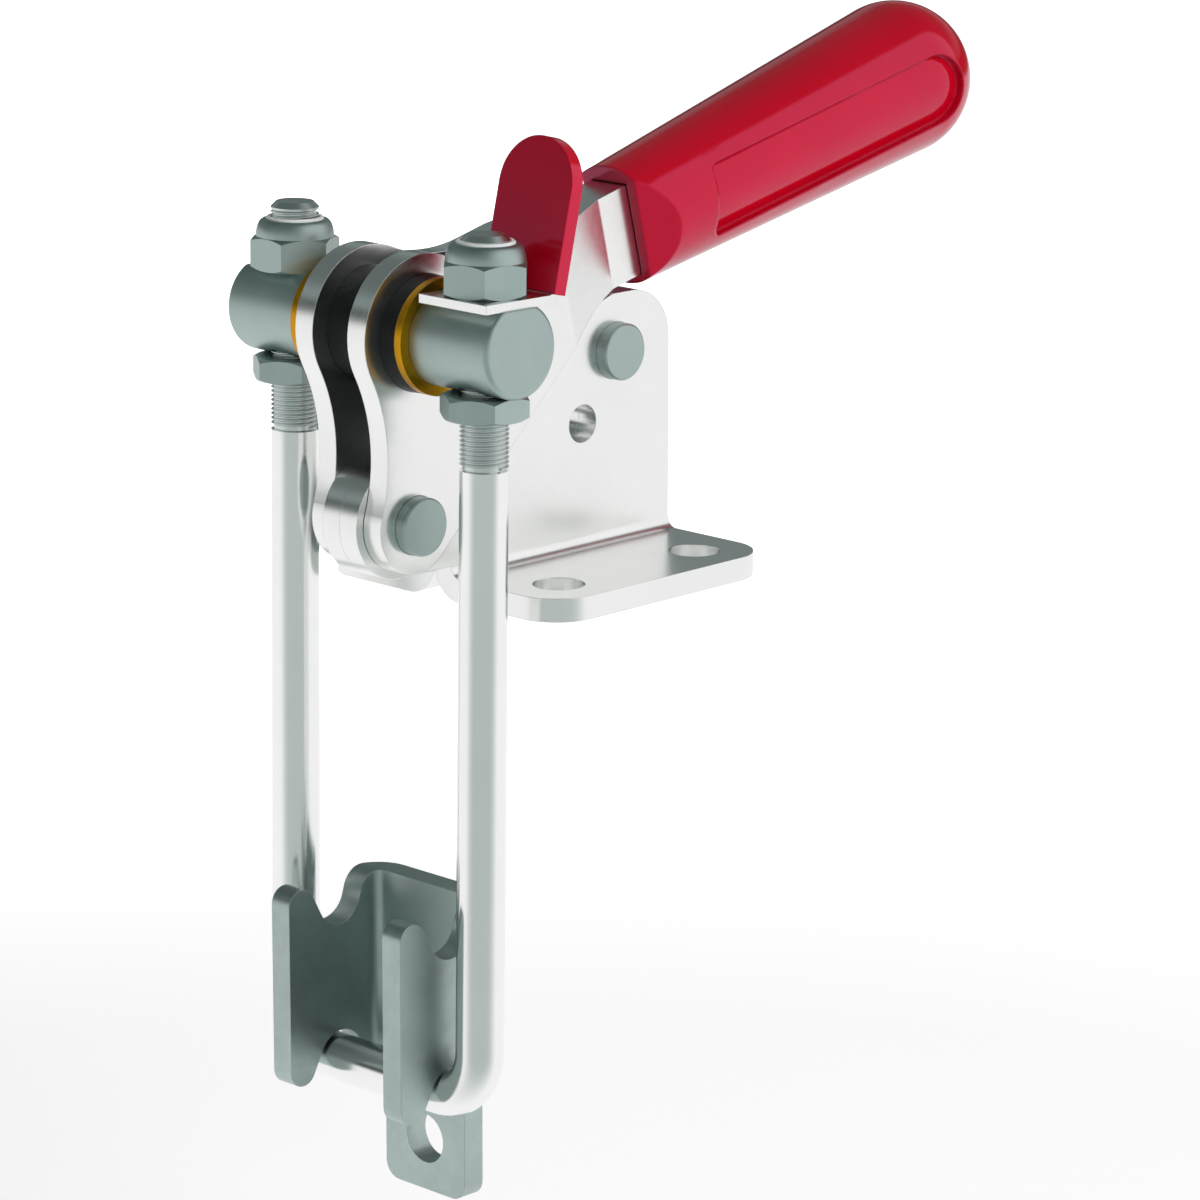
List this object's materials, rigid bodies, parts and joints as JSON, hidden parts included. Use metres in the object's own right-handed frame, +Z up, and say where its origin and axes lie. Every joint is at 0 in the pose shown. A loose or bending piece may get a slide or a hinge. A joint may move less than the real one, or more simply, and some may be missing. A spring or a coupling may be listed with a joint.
{
  "type": "toggle clamp",
  "caption": "Latch toggle clamp: a flanged base, a red-gripped lever and a threaded U-bolt that pulls a notched latch plate tight.",
  "frame": {"origin": "centre of the four mounting holes on the underside of the base flanges", "axes": "+Z up out of the base, +Y to the rear where the closed handle points, +X along the pins towards the leg with the thumb lever"},
  "size_m": [0.061, 0.1511, 0.1919],
  "materials": {
    "bright_zinc": "bright zinc plated, satin",
    "satin_steel": "satin grey plating",
    "latch_steel": "grey plated, dull satin",
    "red_vinyl": "glossy moulded red",
    "bronze": "turned, smooth",
    "black_tube": "black, lightly textured",
    "nylon": "plain grey nylon"
  },
  "bodies": {
    "base": {"base_plate_left": "bright_zinc", "base_plate_right": "bright_zinc", "pivot_pin": "satin_steel", "base_rivet": "satin_steel"},
    "handle": {"handle_plate_left": "bright_zinc", "handle_plate_right": "bright_zinc", "handle_grip": "red_vinyl", "pivot_sleeve": "black_tube"},
    "bushings": {"bushing_left": "bronze", "bushing_right": "bronze"},
    "u_bolt_set": {"trunnion_bar": "satin_steel", "u_bolt": "bright_zinc", "locknut_left": "satin_steel", "locknut_right": "satin_steel", "locknut_insert_left": "nylon", "locknut_insert_right": "nylon", "jam_nut_left": "satin_steel", "jam_nut_right": "satin_steel", "thumb_lever": "bright_zinc", "thumb_lever_coating": "red_vinyl", "latch_plate": "latch_steel"}
  },
  "joints": [
    {"name": "handle_pivot", "type": "hinge", "parent": "base", "child": "handle", "pos_m": [0, -0.0377, 0.0156], "axis": [1, 0, 0], "range_deg": [0, 150]},
    {"name": "bushing_turn", "type": "hinge", "parent": "handle", "child": "bushings", "pos_m": [0, -0.03605, 0.0471], "axis": [1, 0, 0], "range_deg": [-150, 0]},
    {"name": "u_bolt_swing", "type": "hinge", "parent": "bushings", "child": "u_bolt_set", "pos_m": [0, -0.03605, 0.0471], "axis": [1, 0, 0], "range_deg": [-90, 5]}
  ],
  "couplings": [
    {"joint": "bushing_turn", "follows": "handle_pivot", "ratio": -1}
  ]
}
